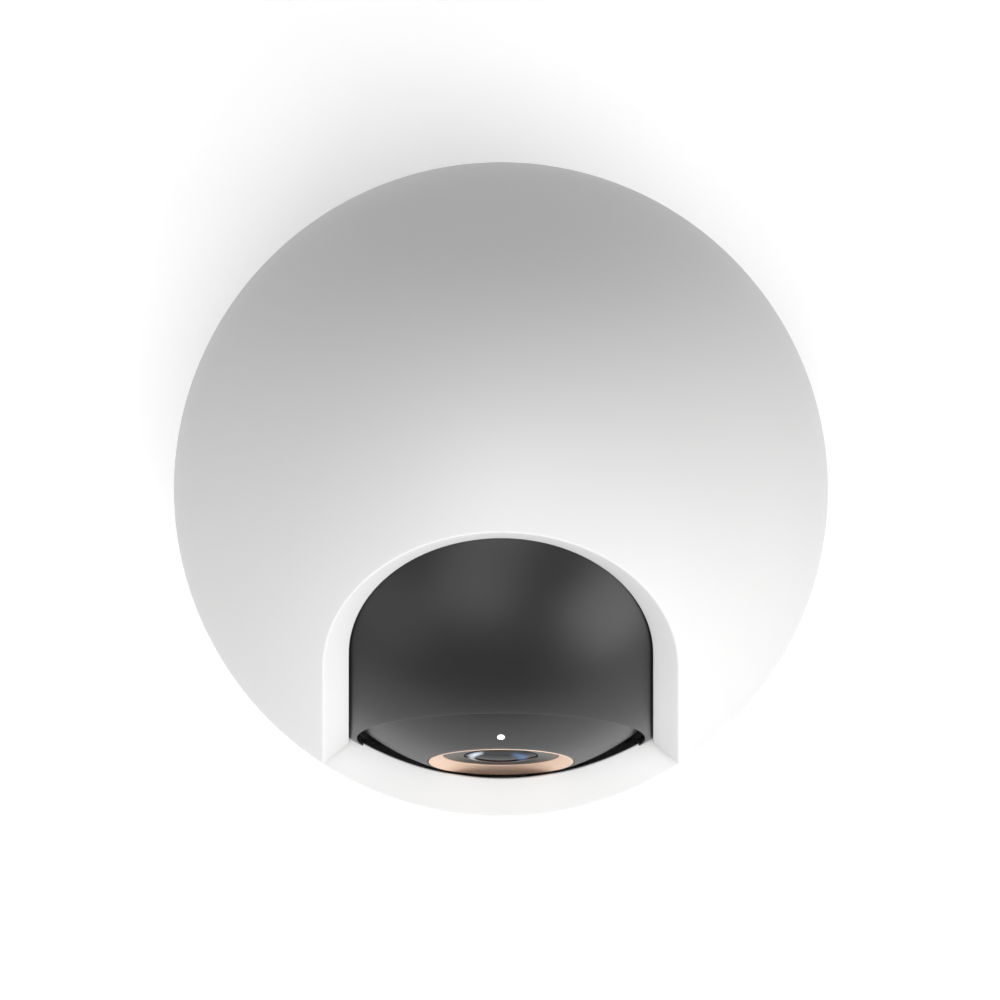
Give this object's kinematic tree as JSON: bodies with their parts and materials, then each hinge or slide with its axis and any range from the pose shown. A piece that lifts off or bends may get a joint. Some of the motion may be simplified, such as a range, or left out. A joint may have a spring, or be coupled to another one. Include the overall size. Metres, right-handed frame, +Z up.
{
  "type": "security camera",
  "caption": "Ball-shaped indoor camera on a round foot: the ball pans, and a hooded lens unit tilts behind an arched window.",
  "frame": {"origin": "centre of the foot's underside", "axes": "+Z up through the ball's centre, -Y towards the side that the lens faces, +X to the lens's left"},
  "size_m": [0.12, 0.1199, 0.117],
  "materials": {
    "white_plastic": "satin white moulded plastic",
    "black_plastic": "satin black plastic",
    "matt_black_plastic": "matt black plastic",
    "smoke_plastic": "dark smoked infrared-clear plastic",
    "copper_trim": "satin copper-coloured metal trim",
    "lens_glass": "coated lens glass",
    "circuit_board": "circuit board",
    "steel": "plain steel",
    "acetal": "natural acetal",
    "rubber": "soft rubber",
    "led_plastic": "clear white moulded",
    "grey_plastic": "grey moulded plastic"
  },
  "bodies": {
    "foot": {"base_pad": "rubber", "mount_plate": "grey_plastic", "base_housing": "white_plastic", "base_board": "circuit_board", "power_socket": "steel", "reset_switch": "black_plastic", "pan_post": "acetal", "pan_gear": "acetal", "base_screw_1": "steel", "base_screw_2": "steel", "base_screw_3": "steel"},
    "button": {"reset_button": "grey_plastic"},
    "ball": {"upper_dome": "white_plastic", "lower_bowl": "white_plastic", "chassis_plate": "grey_plastic", "chassis_screw_1": "steel", "chassis_screw_2": "steel", "chassis_screw_3": "steel", "chassis_screw_4": "steel", "pan_bearing": "acetal", "yoke_left": "grey_plastic", "yoke_right": "grey_plastic", "bush_left": "acetal", "bush_right": "acetal", "tilt_motor": "steel", "pan_motor": "steel", "main_board": "circuit_board", "wifi_antenna": "circuit_board", "speaker": "black_plastic"},
    "eye": {"eye_housing": "matt_black_plastic", "hood": "black_plastic", "face_dome": "smoke_plastic", "lens_ring": "copper_trim", "lens_baffle": "grey_plastic", "lens_glass": "lens_glass", "lens_barrel": "matt_black_plastic", "lens_bracket": "grey_plastic", "sensor_board": "circuit_board", "ir_board": "circuit_board", "ir_led_1": "led_plastic", "ir_led_2": "led_plastic", "ir_led_3": "led_plastic", "ir_led_4": "led_plastic", "light_pipe": "led_plastic", "tilt_gear": "acetal", "trunnion_left": "steel", "trunnion_right": "steel"},
    "tilt_drive": {"tilt_pinion": "acetal"},
    "pan_drive": {"pan_pinion": "acetal"}
  },
  "joints": [
    {"name": "pan", "type": "hinge", "parent": "foot", "child": "ball", "pos_m": [0, 0, 0], "axis": [0, 0, 1], "range_deg": [-170, 170]},
    {"name": "tilt", "type": "hinge", "parent": "ball", "child": "eye", "pos_m": [0, 0, 0.057], "axis": [-1, 0, 0], "range_deg": [0, 39.5]},
    {"name": "tilt_pinion_spin", "type": "hinge", "parent": "ball", "child": "tilt_drive", "pos_m": [0.0261, 0.00363, 0.03642], "axis": [-1, 0, 0], "range_deg": [-133, 1]},
    {"name": "pan_pinion_spin", "type": "hinge", "parent": "ball", "child": "pan_drive", "pos_m": [-0.01478, 0.01478, 0.025], "axis": [0, 0, 1], "range_deg": [-568, 568]},
    {"name": "reset_press", "type": "slide", "parent": "foot", "child": "button", "axis": [0, -1, 0], "range_m": [0, 0.0008], "stiffness_N_per_m": 400, "springref_m": -0.0004}
  ],
  "couplings": [
    {"joint": "tilt_pinion_spin", "follows": "tilt", "ratio": -3.3333},
    {"joint": "pan_pinion_spin", "follows": "pan", "ratio": 3.3333}
  ]
}
